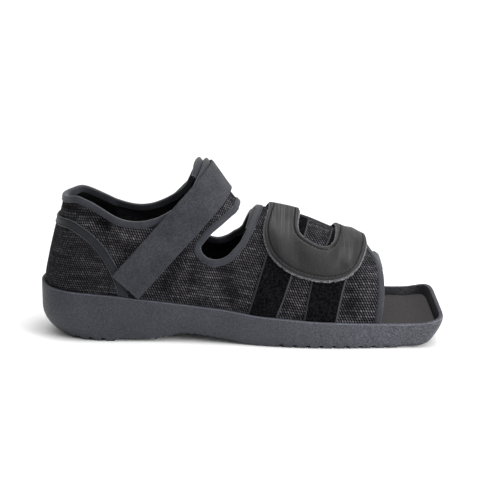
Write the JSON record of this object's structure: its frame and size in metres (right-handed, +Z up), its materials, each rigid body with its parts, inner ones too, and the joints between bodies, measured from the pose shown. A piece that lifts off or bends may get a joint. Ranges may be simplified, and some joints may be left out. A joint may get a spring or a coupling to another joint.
{
  "type": "post operative shoe",
  "caption": "Open-toe post-operative walking shoe with a moulded cup sole, mesh upper, ankle strap and ring-shaped forefoot closure.",
  "frame": {"origin": "middle of the footprint's length and width, on the floor", "axes": "+X to the toe, +Y to the medial side when worn on the right foot, +Z up"},
  "size_m": [0.292, 0.108, 0.1288],
  "materials": {
    "sole": "matte slate grey, fine grain",
    "insole": "matte black knit on foam",
    "mesh": "black padded air mesh",
    "binding": "slate grey folded tape",
    "loop": "black brushed loop pile",
    "strap": "dark grey woven webbing",
    "leatherette": "charcoal leatherette, soft gloss"
  },
  "bodies": {
    "root": {"sole": "sole", "insole": "insole", "upper": "mesh", "heel_counter": "mesh", "counter_tape": "binding", "rear_lateral_loops": "loop", "front_lateral_loops": "loop", "rear_medial_loops": "loop", "front_medial_loops": "loop", "ankle_strap": "strap", "forefoot_closure": "leatherette", "collar_binding": "binding", "lateral_opening_binding": "binding", "medial_opening_binding": "binding", "lateral_toe_binding": "binding", "medial_toe_binding": "binding"}
  },
  "joints": []
}
